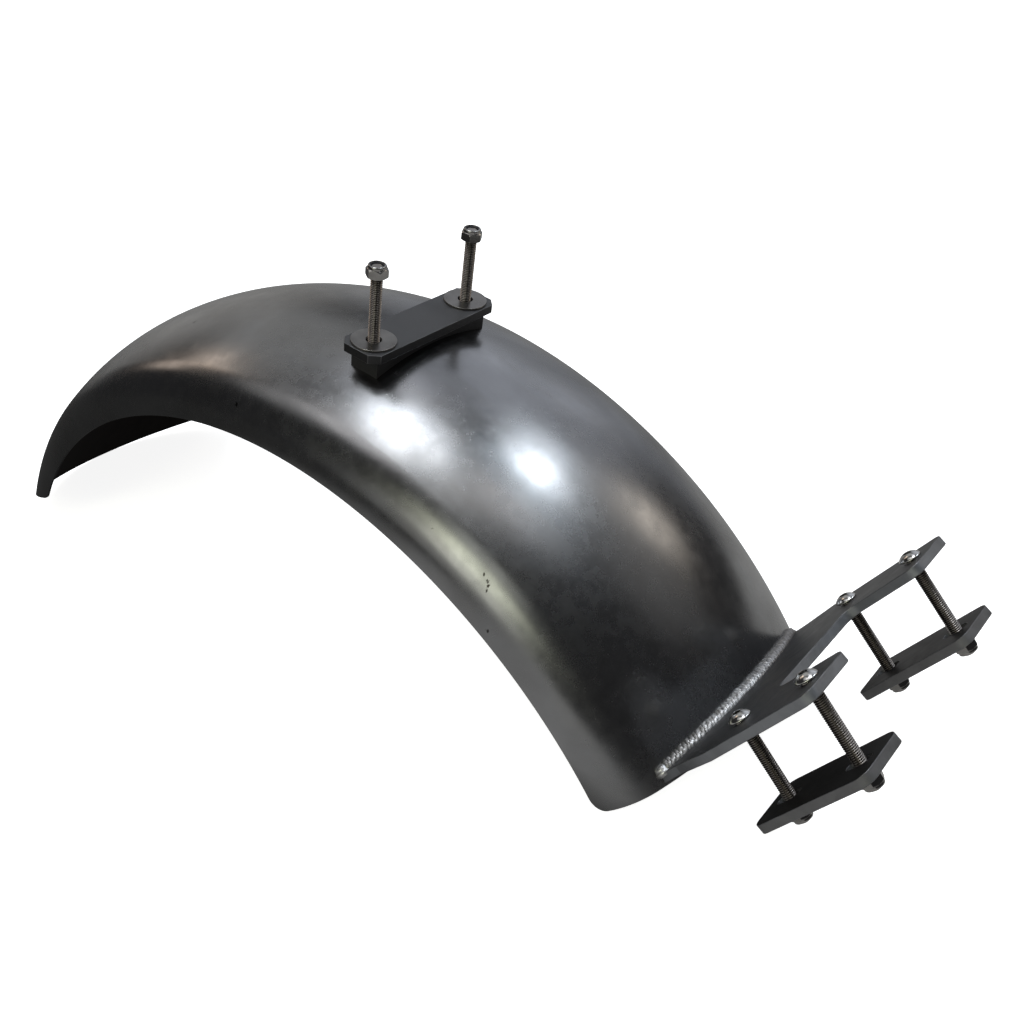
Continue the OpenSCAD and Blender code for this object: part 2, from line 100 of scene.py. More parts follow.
def part_point(x, y, z):
    """Design frame (wheel axis along Y, top bolts along +Z), in mm, to the part's frame, in metres."""
    x, y, z = np.broadcast_arrays(np.asarray(x, float), np.asarray(y, float), np.asarray(z, float))
    return np.stack([x * cos_s + z * sin_s - middle, y, z * cos_s - x * sin_s - ground], -1) / 1000


def bracket_point(x, y, z):
    """Bracket frame (X out along the arms, Z square to the plate) to the part's frame."""
    c, s = math.cos(math.radians(BRACKET_DEG)), math.sin(math.radians(BRACKET_DEG))
    return part_point(front_crown[0] + x * c - z * s, y, front_crown[1] + x * s + z * c)


def add_mesh(name, verts, faces, smooth_deg=32.0, depth=None):
    """Mesh object; depth holds how deep each vertex lies in a groove, from 0 to 1, the mask for painted
    shade in grooves.
    """
    mesh = bpy.data.meshes.new(name)
    mesh.from_pydata([tuple(v) for v in verts], [], [tuple(f) for f in faces])
    if depth is not None:
        mesh.attributes.new("groove", "FLOAT", "POINT").data.foreach_set("value", depth)
    mesh.validate()
    for poly in mesh.polygons:
        poly.use_smooth = True
    mesh.set_sharp_from_angle(angle=math.radians(smooth_deg))
    obj = bpy.data.objects.new(name, mesh)
    bpy.context.scene.collection.objects.link(obj)
    return obj


def grid_faces(rows, cols, wrap=False, offset=0, flip=False):
    out = []
    for i in range(rows - 1):
        for j in range(cols if wrap else cols - 1):
            a, b = i * cols + j, i * cols + (j + 1) % cols
            c, d = b + cols, a + cols
            quad = (a, b, c, d) if not flip else (a, d, c, b)
            out.append(tuple(v + offset for v in quad))
    return out


def stand_for(obj, node):
    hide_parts(node)
    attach(obj, "root")
    return obj


# The shell, as a fine grid on both faces of the sheet

def back_angle(r):
    """Angle at which the tip's cut ends the sheet, at a radius from the wheel axis."""
    reach = rim_r + TIP_CORNER_R
    foot = np.linalg.norm(polar(reach, tip_fillet) + tip_normal * TIP_CORNER_R)
    if r < foot:
        cosine = (r * r + reach * reach - TIP_CORNER_R ** 2) / (2 * r * reach)
        return tip_fillet - math.acos(min(1.0, cosine))
    return tip_normal_angle - 2 * math.pi + math.acos(min(1.0, tip_line / r))


def front_angle(r):
    reach = rim_r + FRONT_CORNER_R
    foot = math.sqrt(reach ** 2 - FRONT_CORNER_R ** 2)
    if r < foot:
        cosine = (r * r + reach * reach - FRONT_CORNER_R ** 2) / (2 * r * reach)
        return front_fillet + math.acos(min(1.0, cosine))
    return front


def section(inset):
    """Half section of the sheet's face from the side edge to the middle, as radius and Y."""
    tangent = math.atan2(rim_r - arc_centre, shoulder_y)
    foot = 0.42
    low = [foot * (k / 16) ** 1.7 for k in range(16)]
    up = [foot + (tangent - foot) * k / 18 for k in range(18)]
    r = SHOULDER_R - inset
    pts = [(rim_r + r * math.sin(a), shoulder_y + r * math.cos(a)) for a in low + up]
    r = CROWN_ARC_R - inset
    pts += [(arc_centre + r * math.sin(a), r * math.cos(a))
            for a in np.linspace(tangent, math.pi / 2, 25)]
    return pts


def shell_grid(inset, cols=300):
    half = section(inset)
    line = [(r, -y) for r, y in half] + [(r, y) for r, y in half[-2::-1]]
    rows = []
    for r, y in line:
        angles = np.linspace(back_angle(r), front_angle(r), cols)
        rows.append(part_point(r * np.sin(angles), y, r * np.cos(angles)))
    return np.array(rows)


outer, inner = shell_grid(0), shell_grid(SHEET_T)
rows, cols = outer.shape[:2]
count = rows * cols
faces = grid_faces(rows, cols, flip=True) + grid_faces(rows, cols, offset=count)
edge = [(0, j) for j in range(cols)] + [(i, cols - 1) for i in range(1, rows)]
edge += [(rows - 1, j) for j in range(cols - 2, -1, -1)] + [(i, 0) for i in range(rows - 2, 0, -1)]
ids = [i * cols + j for i, j in edge]
for k, a in enumerate(ids):
    b = ids[(k + 1) % len(ids)]
    faces.append((a, b, b + count, a + count))
shell = add_mesh("shell_sheet", np.concatenate([outer.reshape(-1, 3), inner.reshape(-1, 3)]), faces, 40)
stand_for(shell, "fender_shell")
bevel = shell.modifiers.new("rolled_edge", "BEVEL")
bevel.width, bevel.segments, bevel.limit_method = ROLLED_EDGE / 1000, 2, "ANGLE"
bevel.angle_limit = math.radians(50)
# Material index by face: the outer face and the edges take 0, the inner face takes 1, whose darker steel
# is painted shade
face_count = (rows - 1) * (cols - 1)
shell_inside = np.zeros(len(shell.data.polygons), dtype=np.int32)
shell_inside[face_count:2 * face_count] = 1


# Turned and hexagonal hardware, from rings about a local Z axis

def hex_r(af, angle):
    return af / 2 / math.cos((angle % (math.pi / 3)) - math.pi / 6)


def ring_body(name, rings, columns, origin, axis_x, axis_z, cap_start=True, cap_end=True, smooth_deg=32.0):
    """Body in the part's frame from rings in millimetres: (height, radius or a function of the angle)."""
    x = Vector(axis_x).normalized()
    z = Vector(axis_z).normalized()
    y = z.cross(x)
    verts, depth = [], []
    for height, radius in rings:
        for k in range(columns):
            a = 2 * math.pi * k / columns
            r = radius(a) if callable(radius) else radius
            depth.append(min(1.0, max(0.0, (THREAD_R - r) / THREAD_DEPTH)) if callable(radius) else 0.0)
            offset = x * (r * math.cos(a)) + y * (r * math.sin(a)) + z * height
            verts.append(Vector(origin) + offset / 1000)
    faces = grid_faces(len(rings), columns, wrap=True)
    for cap, ring, way in ((cap_start, 0, -1), (cap_end, len(rings) - 1, 1)):
        if cap:
            centre = len(verts)
            verts.append(Vector(origin) + z * rings[ring][0] / 1000)
            depth.append(0.0)
            for k in range(columns):
                a, b = ring * columns + k, ring * columns + (k + 1) % columns
                faces.append((a, b, centre) if way > 0 else (b, a, centre))
    obj = add_mesh(name, verts, faces, smooth_deg, depth)
    obj["seat"], obj["axis"] = list(origin), list(z)
    return obj


def bolt_rings(length):
    """Rings of a domed socket-head bolt: bearing face at height 0, head below it, thread above it."""
    drop = (HEAD_R ** 2 + HEAD_RIM_H ** 2 - HEAD_H ** 2) / (2 * (HEAD_H - HEAD_RIM_H))
    dome_r = drop + HEAD_H
    mouth = SOCKET_AF / 2 / math.cos(math.pi / 6) + 0.18
    top = math.sqrt(dome_r ** 2 - mouth ** 2) - drop

    def socket(ease):
        return lambda a: hex_r(SOCKET_AF, a) + ease

    rings = [(-(HEAD_H - SOCKET_DEPTH), socket(0)), (-(top - 0.25), socket(0)),
             (-(top - 0.1), socket(0.03))]
    rings += [(-(math.sqrt(dome_r ** 2 - r * r) - drop), r)
              for r in (mouth, mouth + 0.1, *np.linspace(mouth + 0.3, HEAD_R - 0.12, 13))]
    rings += [(-HEAD_RIM_H + 0.06, HEAD_R - 0.02), (-HEAD_RIM_H + 0.2, HEAD_R), (-0.2, HEAD_R),
              (-0.06, HEAD_R - 0.05), (0, HEAD_R - 0.2), (0, THREAD_R + 0.35), (0.12, THREAD_R + 0.1)]
    per_turn = 8

    def threaded(height):
        fade = min(1.0, max(0.0, (height - 0.5) / 1.5)) * min(1.0, max(0.0, (length - 0.3 - height) / 1.2))

        def radius(a):
            phase = (height / THREAD_PITCH - a / (2 * math.pi)) % 1.0
            groove = max(0.0, 1 - abs(phase - 0.5) / 0.42) ** 0.85
            return THREAD_R - THREAD_DEPTH * groove * fade
        return radius

    for k in range(1, int(length / THREAD_PITCH * per_turn)):
        height = k * THREAD_PITCH / per_turn
        if height < length - 0.6:
            rings.append((height, threaded(height)))
    rings += [(length - 0.6, THREAD_R - 0.15), (length - 0.15, THREAD_R - 0.6), (length, THREAD_R - 0.8)]
    return rings


def nut_rings():
    """Rings of a locking nut, seat at height 0: bore, chamfered hexagon, domed collar and lip."""
    corner = NUT_AF / 2 / math.cos(math.pi / 6)
    chamfer = corner - NUT_AF / 2

    def cut(limit):
        return lambda a: min(hex_r(NUT_AF, a), limit)

    rings = [(2.5, THREAD_R), (0.5, THREAD_R), (0.0, THREAD_R + 0.5), (0.0, NUT_AF / 2)]
    for k in range(1, 9):
        rings.append((chamfer / 2 * k / 8, cut(NUT_AF / 2 + chamfer * k / 8)))
    for k in range(0, 11):
        low = NUT_HEX_H - chamfer
        rings.append((low + chamfer * k / 10, cut(corner - (chamfer + NUT_TOP_EASE) * k / 10)))
    rings += [(NUT_HEX_H, COLLAR_R + 0.12), (NUT_HEX_H + 0.1, COLLAR_R)]
    for k in range(0, 9):
        a = math.pi / 2 * k / 8
        rings.append((NUT_H - COLLAR_ROUND + COLLAR_ROUND * math.sin(a),
                      COLLAR_R - COLLAR_ROUND + COLLAR_ROUND * math.cos(a)))
    rings += [(NUT_H, RING_MOUTH_R + 0.12), (NUT_H - 0.1, RING_MOUTH_R), (NUT_H - 0.48, RING_MOUTH_R)]
    return rings


def ring_node_rings():
    top = RING_SEAT + RING_H - 0.04
    return [(RING_SEAT + 0.1, THREAD_R + 0.02), (top - 0.25, THREAD_R + 0.02), (top, THREAD_R + 0.3),
            (top, RING_R - 0.1), (RING_SEAT + 0.1, RING_R - 0.05)]


up = part_point(0, 0, 1) - part_point(0, 0, 0)
along = part_point(1, 0, 0) - part_point(0, 0, 0)
plate_x = bracket_point(1, 0, 0) - bracket_point(0, 0, 0)
plate_z = bracket_point(0, 0, 1) - bracket_point(0, 0, 0)
lean = math.radians(CLAMP_LEAN_DEG)
clamp_up = plate_z * math.cos(lean) + plate_x * math.sin(lean)
clamp_side = plate_x * math.cos(lean) - plate_z * math.sin(lean)
bracket_middle = BRACKET_RISE - BRACKET_T / 2
head_seat = (BRACKET_T / 2 + HEAD_R * math.sin(lean)) / math.cos(lean)
nut_drop = (bracket_middle - CLAMP_BOTTOM + NUT_AF / 2 * math.sin(lean)) / math.cos(lean)
inner_washer_top = arc_centre + math.sqrt((CROWN_ARC_R - SHEET_T) ** 2 - (STUD_Y + INNER_WASHER_R) ** 2)
top_bolt_seat = inner_washer_top - INNER_WASHER_T

BOLT_COLUMNS, NUT_COLUMNS, LOCK_RING_COLUMNS = 48, 96, 64
bolts, nuts, lock_rings = [], [], []


def add_bolt(name, length, origin, axis_x, axis_z):
    bolt = ring_body("thread_" + name, bolt_rings(length), BOLT_COLUMNS, origin, axis_x, axis_z)
    bolts.append(stand_for(bolt, name))


def add_nut(name, origin, axis_x, axis_z):
    nut = ring_body("hex_" + name, nut_rings(), NUT_COLUMNS, origin, axis_x, axis_z, False, False, 24)
    nuts.append(stand_for(nut, name))
    ring_name = name.replace("nut_", "nut_ring_")
    ring = ring_body("lock_" + ring_name, ring_node_rings(), LOCK_RING_COLUMNS, origin, axis_x, axis_z,
                     False, False)
    lock_rings.append(stand_for(ring, ring_name))


for side_name, side in SIDES.items():
    add_bolt("top_bolt_" + side_name, TOP_BOLT_END - top_bolt_seat,
             part_point(0, side * STUD_Y, top_bolt_seat), along, up)
    turn = math.radians(LEFT_NUT_TURN if side == LEFT else 0)
    nut_x = along * math.cos(turn) + np.array([0, 0.001, 0]) * math.sin(turn)
    add_nut("top_nut_" + side_name, part_point(0, side * STUD_Y, NUT_SEAT), nut_x, up)
    for place, x in BOLT_X.items():
        hole = bracket_point(x, side * ARM_Y, bracket_middle)
        tag = side_name + "_" + place
        add_bolt("clamp_bolt_" + tag, head_seat + nut_drop + NUT_H + TIP_OUT,
                 hole + clamp_up * head_seat, clamp_side, -clamp_up)
        add_nut("clamp_nut_" + tag, hole - clamp_up * nut_drop, clamp_side, -clamp_up)


# The weld bead, along the line where the bracket's top meets the shell

def crown_at(y):
    """Radius of the shell's outer face from the wheel axis, at a distance from its middle."""
    if abs(y) <= crown_join_y:
        return arc_centre + math.sqrt(CROWN_ARC_R ** 2 - y * y)
    return rim_r + math.sqrt(max(0.0, SHOULDER_R ** 2 - (abs(y) - shoulder_y) ** 2))


def lift_from_sheet(obj, depth=1.0):
    """Moves the parts of a weld mesh that lie deeper than this in the sheet back to that depth."""
    for vertex in obj.data.vertices:
        x, z = vertex.co.x * 1000 + middle, vertex.co.z * 1000 + ground
        limit = crown_at(vertex.co.y * 1000) - depth
        r = math.hypot(x, z)
        if r < limit:
            vertex.co.x, vertex.co.z = (x * limit / r - middle) / 1000, (z * limit / r - ground) / 1000


def meet_x(y):
    """Bracket-frame X of the shell's crown face at the bracket's top face."""
    a = math.radians(BRACKET_DEG)
    crown = crown_at(y)
    fx, fz = front_crown
    base = fx * math.cos(a) + fz * math.sin(a)
    rise = -fx * math.sin(a) + fz * math.cos(a) + BRACKET_RISE
    return math.sqrt(max(0.0, crown ** 2 - rise ** 2)) - base


join_angle = math.atan2(rim_r - arc_centre, shoulder_y)
crown_join_y = CROWN_ARC_R * math.cos(join_angle)
weld_half = BRACKET_ROOT_W / 2 - WELD_R / 2
weld_line = []
for y in np.linspace(-weld_half, weld_half, 900):
    weld_line.append(Vector(bracket_point(meet_x(y), y, BRACKET_RISE)))
WELD_COLUMNS, RIPPLE, RIPPLE_PITCH = 22, 0.85, 2.9
weld_verts, weld_shade_depth = [], []
for i, point in enumerate(weld_line):
    tangent = (weld_line[min(i + 1, len(weld_line) - 1)] - weld_line[max(i - 1, 0)]).normalized()
    out = Vector(plate_x).normalized()
    out = (out - tangent * out.dot(tangent)).normalized()
    rise = tangent.cross(out).normalized()
    if rise.dot(Vector(plate_z)) < 0:
        rise = -rise
    y = point.y * 1000
    for j in range(WELD_COLUMNS):
        a = math.radians(-12) + math.radians(196) * j / (WELD_COLUMNS - 1)
        across = math.sin(math.pi * j / (WELD_COLUMNS - 1))
        shift = 0.5 * math.sin(y * 0.9) + 0.3 * math.sin(y * 2.3 + j) - 4.4 * across
        phase = (y + shift) / RIPPLE_PITCH % 1.0
        bump = (phase ** 0.6 - 0.6) * RIPPLE * 1.4
        wander = 0.18 * math.sin(y * 0.37) + 0.12 * math.sin(y * 1.13 + 1.0)
        r = WELD_R + WELD_PROUD + (bump + wander) * across
        end = min(weld_half - abs(y), WELD_END) / WELD_END
        r *= math.sqrt(max(0.05, 1 - (1 - end) ** 2))
        weld_verts.append(point + (out * math.cos(a) + rise * math.sin(a)) * r / 1000)
        # Painted shade mask: highest in the ripple valleys, half as high along the bead's toes against the
        # sheet
        weld_shade_depth.append(max(1 - phase * 2.0, (phase - 0.88) * 8, 0.5 * (1 - across)))
weld_faces = grid_faces(len(weld_line), WELD_COLUMNS, flip=True)
weld = add_mesh("weld_bead", weld_verts, weld_faces, 60, weld_shade_depth)
lift_from_sheet(weld)
welds = [stand_for(weld, "bracket_weld")]
for side_name, side in SIDES.items():
    at = Vector(bracket_point(meet_x(weld_half), side * weld_half, BRACKET_RISE))
    rings = []
    for k in range(0, 15):
        polar_angle = math.pi * 0.62 * k / 14
        dip = 0.55 * math.exp(-(polar_angle / 0.42) ** 2)
        r = WELD_R + 0.7 - dip + 0.22 * math.sin(polar_angle * 9)
        rings.append((r * math.cos(polar_angle), max(0.01, r * math.sin(polar_angle))))
    crater = ring_body("weld_crater_" + side_name, rings, 40, at, plate_x, plate_z, True, False, 60)
    lift_from_sheet(crater)
    welds.append(stand_for(crater, "bracket_weld"))


# Plates, pad and washers, taken from the CAD with their edges eased

EASED_ANGLE = math.radians(14)


def softened(node, width, edge_highlight=False):
    """Copy of a CAD node with edges eased to this width in millimetres, the eased edges in a second,
    lighter material as a painted edge highlight if asked.
    """
    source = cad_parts[node]
    obj = source.copy()
    obj.data = source.data.copy()
    obj.name = "eased_" + node
    obj.parent = None
    obj.matrix_world = source.matrix_world.copy()
    bpy.context.scene.collection.objects.link(obj)
    mesh = obj.data
    bm = bmesh.new()
    bm.from_mesh(mesh)
    bmesh.ops.remove_doubles(bm, verts=bm.verts, dist=2e-6)
    bmesh.ops.dissolve_limit(bm, angle_limit=math.radians(1.0), verts=bm.verts, edges=bm.edges)
    bm.to_mesh(mesh)
    bm.free()
    for poly in mesh.polygons:
        poly.use_smooth = True
    mesh.set_sharp_from_angle(angle=EASED_ANGLE)
    bevel = obj.modifiers.new("eased_edges", "BEVEL")
    bevel.width, bevel.segments, bevel.limit_method = width / 1000, 2, "ANGLE"
    bevel.angle_limit = EASED_ANGLE
    bevel.harden_normals = True
    bevel.use_clamp_overlap = True
    # Painted edge highlight: the eased edges take the lighter second material
    if edge_highlight:
        bevel.material = 1
    return stand_for(obj, node)


bracket = softened("mounting_bracket", 0.4, edge_highlight=True)
top_plate = softened("top_plate", 0.4, edge_highlight=True)
pad = softened("rubber_pad", 0.45)
clamp_plates, washers = [], []
for side_name in SIDES:
    clamp_plates.append(softened("clamp_plate_" + side_name, 0.4, edge_highlight=True))
    washers.append(softened("washer_" + side_name, 0.25))
    washers.append(softened("inner_washer_" + side_name, 0.25))


# Materials

class Nodes:
    """A material's node tree, with short calls to add and join nodes."""

    def __init__(self, name):
        self.material = bpy.data.materials.new(name)
        self.material.use_nodes = True
        self.tree = self.material.node_tree
        self.tree.nodes.clear()
        self.out = self.tree.nodes.new("ShaderNodeOutputMaterial")
        self.shader = self.tree.nodes.new("ShaderNodeBsdfPrincipled")
        self.join(self.shader.outputs["BSDF"], self.out.inputs["Surface"])

    def join(self, a, b):
        self.tree.links.new(a, b)

    def add(self, kind, **values):
        node = self.tree.nodes.new(kind)
        for key, value in values.items():
            if key.startswith("in_"):
                node.inputs[int(key[3:])].default_value = value
            else:
                setattr(node, key, value)
        return node

    def maths(self, operation, a, b=None):
        node = self.tree.nodes.new("ShaderNodeMath")
        node.operation = operation
        for socket, value in zip(node.inputs, (a, b)):
            if value is None:
                continue
            if hasattr(value, "is_output"):
                self.join(value, socket)
            else:
                socket.default_value = value
        return node.outputs[0]

    def place(self, scale=(1, 1, 1)):
        coords = self.add("ShaderNodeTexCoord")
        mapping = self.add("ShaderNodeMapping")
        mapping.inputs["Scale"].default_value = scale
        self.join(coords.outputs["Object"], mapping.inputs["Vector"])
        return mapping.outputs["Vector"]

    def noise(self, vector, scale, detail=4.0, rough=0.55, distortion=0.0):
        node = self.add("ShaderNodeTexNoise")
        node.inputs["Scale"].default_value = scale
        node.inputs["Detail"].default_value = detail
        node.inputs["Roughness"].default_value = rough
        node.inputs["Distortion"].default_value = distortion
        self.join(vector, node.inputs["Vector"])
        return node.outputs["Fac"]

    def spread(self, value, low, high, to_low, to_high, smooth=False):
        node = self.add("ShaderNodeMapRange")
        node.interpolation_type = "SMOOTHSTEP" if smooth else "LINEAR"
        for socket, number in zip(list(node.inputs)[1:5], (low, high, to_low, to_high)):
            socket.default_value = number
        self.join(value, node.inputs[0])
        return node.outputs[0]

    def mix(self, factor, a, b):
        node = self.add("ShaderNodeMix", data_type="RGBA")
        colours = [s for s in node.inputs if s.type == "RGBA"]
        factors = [s for s in node.inputs if s.type == "VALUE"]
        if hasattr(factor, "is_output"):
            self.join(factor, factors[0])
        else:
            factors[0].default_value = factor
        for socket, value in zip(colours, (a, b)):
            if hasattr(value, "is_output"):
                self.join(value, socket)
            else:
                socket.default_value = (*value, 1)
        return [s for s in node.outputs if s.type == "RGBA"][0]

    def bump(self, height, strength, distance, normal=None):
        node = self.add("ShaderNodeBump")
        node.inputs["Strength"].default_value = strength
        node.inputs["Distance"].default_value = distance
        self.join(height, node.inputs["Height"])
        if normal is not None:
            self.join(normal, node.inputs["Normal"])
        return node.outputs["Normal"]

    def groove(self, low, high, most):
        """How deep a place lies in the mesh's grooves, from 0 to most, the mask for painted shade in
        grooves.
        """
        depth = self.add("ShaderNodeAttribute", attribute_name="groove").outputs["Fac"]
        return self.spread(depth, low, high, 0.0, most)

    def set(self, **values):
        for key, value in values.items():
            socket = self.shader.inputs[key.replace("_", " ")]
            if hasattr(value, "is_output"):
                self.join(value, socket)
            elif isinstance(value, tuple):
                socket.default_value = (*value, 1)
            else:
                socket.default_value = value


def dress(obj, *materials):
    obj.data.materials.clear()
    for material in materials:
        obj.data.materials.append(material)


# Places of the small dark marks on the shell, from the angle forward of the top bolts, Y and radius
SHELL_MARKS = [tuple(part_point(*(r * math.sin(math.radians(a)), y, r * math.cos(math.radians(a)))))
               for a, y, r in ((-10.0, -104.0, 371.0), (12.0, -107.0, 362.0), (27.0, -108.5, 358.0),
                               (-57.0, -96.0, 381.0), (-26.0, -50.0, 401.0), (-30.0, 20.0, 406.9))]

# A few short scratches in a row down the near side
SCRATCHES = [(0.1700, -0.0985, 0.1280), (0.1726, -0.0990, 0.1250), (0.1735, -0.0995, 0.1239),
             (0.1744, -0.1004, 0.1224), (0.1742, -0.1018, 0.1200)]


def marks(n, spots, size, stretch=(1, 1, 1)):
    """Small surface marks at the given places in the part's frame: 1 in a mark, 0 elsewhere."""
    coords = n.add("ShaderNodeTexCoord")
    rough_edge = n.noise(coords.outputs["Object"], 900, 3, 0.6)
    total = None
    for spot in spots:
        near = n.add("ShaderNodeVectorMath", operation="SUBTRACT")
        n.join(coords.outputs["Object"], near.inputs[0])
        near.inputs[1].default_value = spot
        wide = n.add("ShaderNodeVectorMath", operation="MULTIPLY")
        n.join(near.outputs[0], wide.inputs[0])
        wide.inputs[1].default_value = stretch
        gap = n.add("ShaderNodeVectorMath", operation="LENGTH")
        n.join(wide.outputs[0], gap.inputs[0])
        ragged = n.maths("MULTIPLY", gap.outputs["Value"], n.spread(rough_edge, 0.35, 0.65, 0.6, 1.5))
        value = n.spread(ragged, size * 0.5, size, 1.0, 0.0, True)
        total = value if total is None else n.maths("MAXIMUM", total, value)
    return total


def shell_material():
    n = Nodes("raw_sheet_steel")
    flat = n.place()
    brushed = n.place((0.35, 1.0, 0.35))
    cloud = n.noise(flat, 13, 4, 0.55, 0.25)
    mottle = n.noise(flat, 110, 6, 0.65)
    fine = n.noise(brushed, 900, 3, 0.6)
    streak = n.noise(brushed, 55, 4, 0.55, 1.0)
    tone = n.mix(n.spread(cloud, 0.34, 0.68, 0, 1), (0.195, 0.197, 0.202), (0.30, 0.302, 0.308))
    tone = n.mix(n.spread(streak, 0.35, 0.75, 0, 0.35), tone, (0.225, 0.216, 0.205))
    speck = n.spread(n.noise(flat, 300, 3, 0.5), 0.72, 0.8, 0, 0.45)
    tone = n.mix(speck, tone, (0.09, 0.085, 0.08))
    spots = n.maths("MAXIMUM", marks(n, SHELL_MARKS, 0.0016), marks(n, SCRATCHES, 0.0013, (1.6, 0.7, 0.8)))
    tone = n.mix(spots, tone, (0.03, 0.028, 0.026))
    grain_rough = n.spread(mottle, 0.3, 0.7, -0.025, 0.045)
    rough = n.maths("ADD", n.spread(cloud, 0.3, 0.72, 0.29, 0.20), grain_rough)
    normal = n.bump(n.noise(flat, 9, 2, 0.5), 0.45, 0.0012)
    normal = n.bump(fine, 0.1, 0.00004, normal)
    n.set(Base_Color=tone, Metallic=1.0, Roughness=rough, Normal=normal)
    return n.material


def plate_material(name, face, side, rough_low, rough_high):
    """Dark plate whose side faces and flat faces take two tones by the way they point, as painted light
    and shade.
    """
    n = Nodes(name)
    flat = n.place()
    geometry = n.add("ShaderNodeNewGeometry")
    turn = n.add("ShaderNodeVectorMath", operation="DOT_PRODUCT")
    n.join(geometry.outputs["Normal"], turn.inputs[0])
    turn.inputs[1].default_value = tuple(Vector(up if "top" in name else plate_z).normalized())
    facing = n.maths("ABSOLUTE", turn.outputs["Value"])
    edge = n.spread(facing, 0.35, 0.8, 1.0, 0.0, True)
    cloud = n.noise(flat, 60, 5, 0.6, 0.6)
    grain = n.noise(flat, 900, 3, 0.6)
    # Painted light and shade: side faces and flat faces take their tones by direction
    tone = n.mix(edge, face, side)
    tone = n.mix(n.spread(cloud, 0.35, 0.7, 0.0, 0.3), tone, tuple(c * 0.7 for c in face))
    n.set(Base_Color=tone, Metallic=0.9, Roughness=n.spread(cloud, 0.3, 0.7, rough_high, rough_low),
          Normal=n.bump(grain, 0.15, 0.00006, n.bump(cloud, 0.12, 0.0003)))
    return n.material


def steel_material(name, tone_low, tone_high, rough_low, rough_high, groove=None):
    """Steel clouded between two tones and roughnesses, with its grooves darkened to a third tone if given,
    as painted shade.
    """
    n = Nodes(name)
    flat = n.place()
    cloud = n.noise(flat, 90, 3, 0.5)
    tone = n.mix(n.spread(cloud, 0.35, 0.68, 0, 1), tone_low, tone_high)
    if groove is not None:
        # Painted shade in the grooves
        tone = n.mix(n.groove(0.1, 0.8, 1.0), tone, groove)
    n.set(Base_Color=tone, Metallic=1.0, Roughness=n.spread(cloud, 0.3, 0.7, rough_low, rough_high),
          Normal=n.bump(n.noise(flat, 1500, 3, 0.6), 0.12, 0.00004))
    return n.material


def weld_material():
    n = Nodes("weld_bead_steel")
    flat = n.place()
    patch = n.noise(flat, 190, 4, 0.65, 0.5)
    coords = n.add("ShaderNodeTexCoord")
    split = n.add("ShaderNodeSeparateXYZ")
    n.join(coords.outputs["Object"], split.inputs[0])
    tone = n.mix(n.spread(patch, 0.32, 0.7, 0, 1), (0.62, 0.62, 0.625), (0.26, 0.255, 0.25))
    tone = n.mix(n.spread(split.outputs["Y"], -0.02, 0.07, 0.0, 0.65), tone, (0.2, 0.18, 0.165))
    # Painted shade: the ripple valleys and toes of the bead darkened nearly to black
    tone = n.mix(n.groove(0.0, 0.9, 0.93), tone, (0.045, 0.043, 0.042))
    n.set(Base_Color=tone, Metallic=0.9, Roughness=n.spread(patch, 0.3, 0.7, 0.32, 0.46),
          Normal=n.bump(n.noise(flat, 900, 3, 0.6), 0.25, 0.0001))
    return n.material


def rubber_material():
    n = Nodes("matt_black_rubber")
    flat = n.place()
    grain = n.noise(flat, 700, 4, 0.6)
    n.set(Base_Color=n.mix(grain, (0.012, 0.012, 0.013), (0.024, 0.024, 0.025)), Roughness=0.72,
          Normal=n.bump(grain, 0.3, 0.0001))
    return n.material


def nylon_material():
    n = Nodes("dark_nylon")
    flat = n.place()
    grain = n.noise(flat, 500, 3, 0.5)
    n.set(Base_Color=n.mix(grain, (0.016, 0.017, 0.024), (0.03, 0.032, 0.042)), Roughness=0.5,
          Normal=n.bump(grain, 0.2, 0.00008))
    return n.material


# The inner face's steel is much darker than the outer face's: painted shade inside the fender
shaded_inner_steel = steel_material("inner_steel_painted_shade", (0.042, 0.036, 0.034), (0.066, 0.057, 0.053), 0.45, 0.55)
dress(shell, shell_material(), shaded_inner_steel)
shell.data.polygons.foreach_set("material_index", shell_inside)
shell.data.update()
# Lighter steel for the eased plate edges: a painted edge highlight
highlight_edge_steel = steel_material("painted_edge_highlight", (0.10, 0.10, 0.104), (0.22, 0.22, 0.225), 0.32, 0.42)
# Side-face tones: painted light on the bracket and clamp plates, painted shade on the top plate
bracket_steel = plate_material("bracket_plate", (0.052, 0.052, 0.054), (0.28, 0.29, 0.31), 0.42, 0.52)
dress(bracket, bracket_steel, highlight_edge_steel)
top_steel = plate_material("top_plate_steel", (0.098, 0.098, 0.1), (0.05, 0.05, 0.052), 0.5, 0.58)
dress(top_plate, top_steel, highlight_edge_steel)
clamp_steel = plate_material("clamp_plate_steel", (0.034, 0.032, 0.032), (0.21, 0.21, 0.215), 0.5, 0.6)
for obj in clamp_plates:
    dress(obj, clamp_steel, highlight_edge_steel)
bright_steel = steel_material("polished_stainless", (0.46, 0.455, 0.44), (0.56, 0.555, 0.54), 0.1, 0.16)
